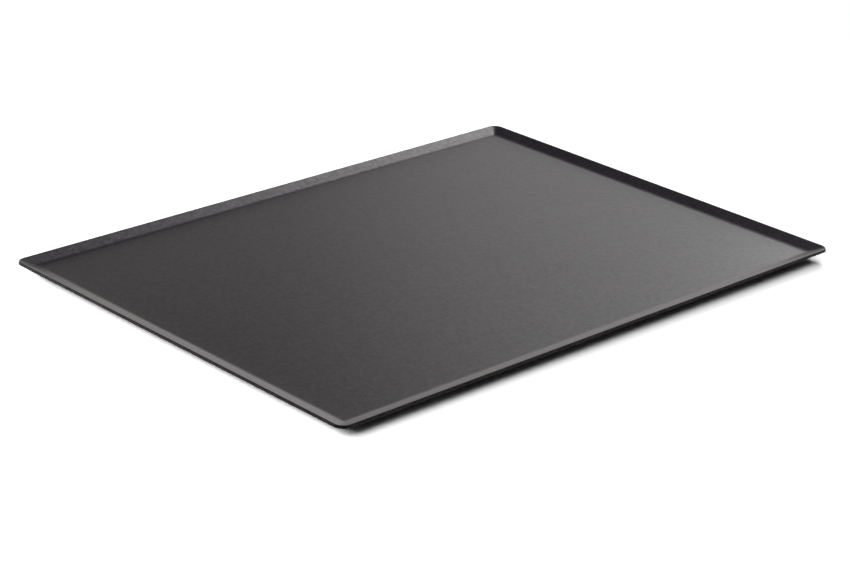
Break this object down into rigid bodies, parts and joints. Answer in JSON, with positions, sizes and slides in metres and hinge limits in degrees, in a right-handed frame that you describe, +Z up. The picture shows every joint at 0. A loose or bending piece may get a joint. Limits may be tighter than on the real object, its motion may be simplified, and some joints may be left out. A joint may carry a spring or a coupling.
{
  "type": "display tray",
  "caption": "Shallow rectangular display tray pressed from one black anodised sheet, with a low flared rim, mitred corners and low rubber feet.",
  "frame": {"origin": "on the surface that the tray stands on, under the middle of the tray", "axes": "+Z up, +X along the long side, +Y along the short side; the picture looks from -X -Y towards +X +Y"},
  "size_m": [0.42, 0.31, 0.0089],
  "materials": {
    "anodised_aluminium": "satin black anodised, very fine blasted grain",
    "foot_rubber": "matte moulded",
    "foot_adhesive": "matte adhesive film"
  },
  "bodies": {
    "root": {"tray_sheet": "anodised_aluminium", "foot_front_left": "foot_rubber", "foot_front_right": "foot_rubber", "foot_back_left": "foot_rubber", "foot_back_right": "foot_rubber", "adhesive_disc_front_left": "foot_adhesive", "adhesive_disc_front_right": "foot_adhesive", "adhesive_disc_back_left": "foot_adhesive", "adhesive_disc_back_right": "foot_adhesive"}
  },
  "joints": []
}
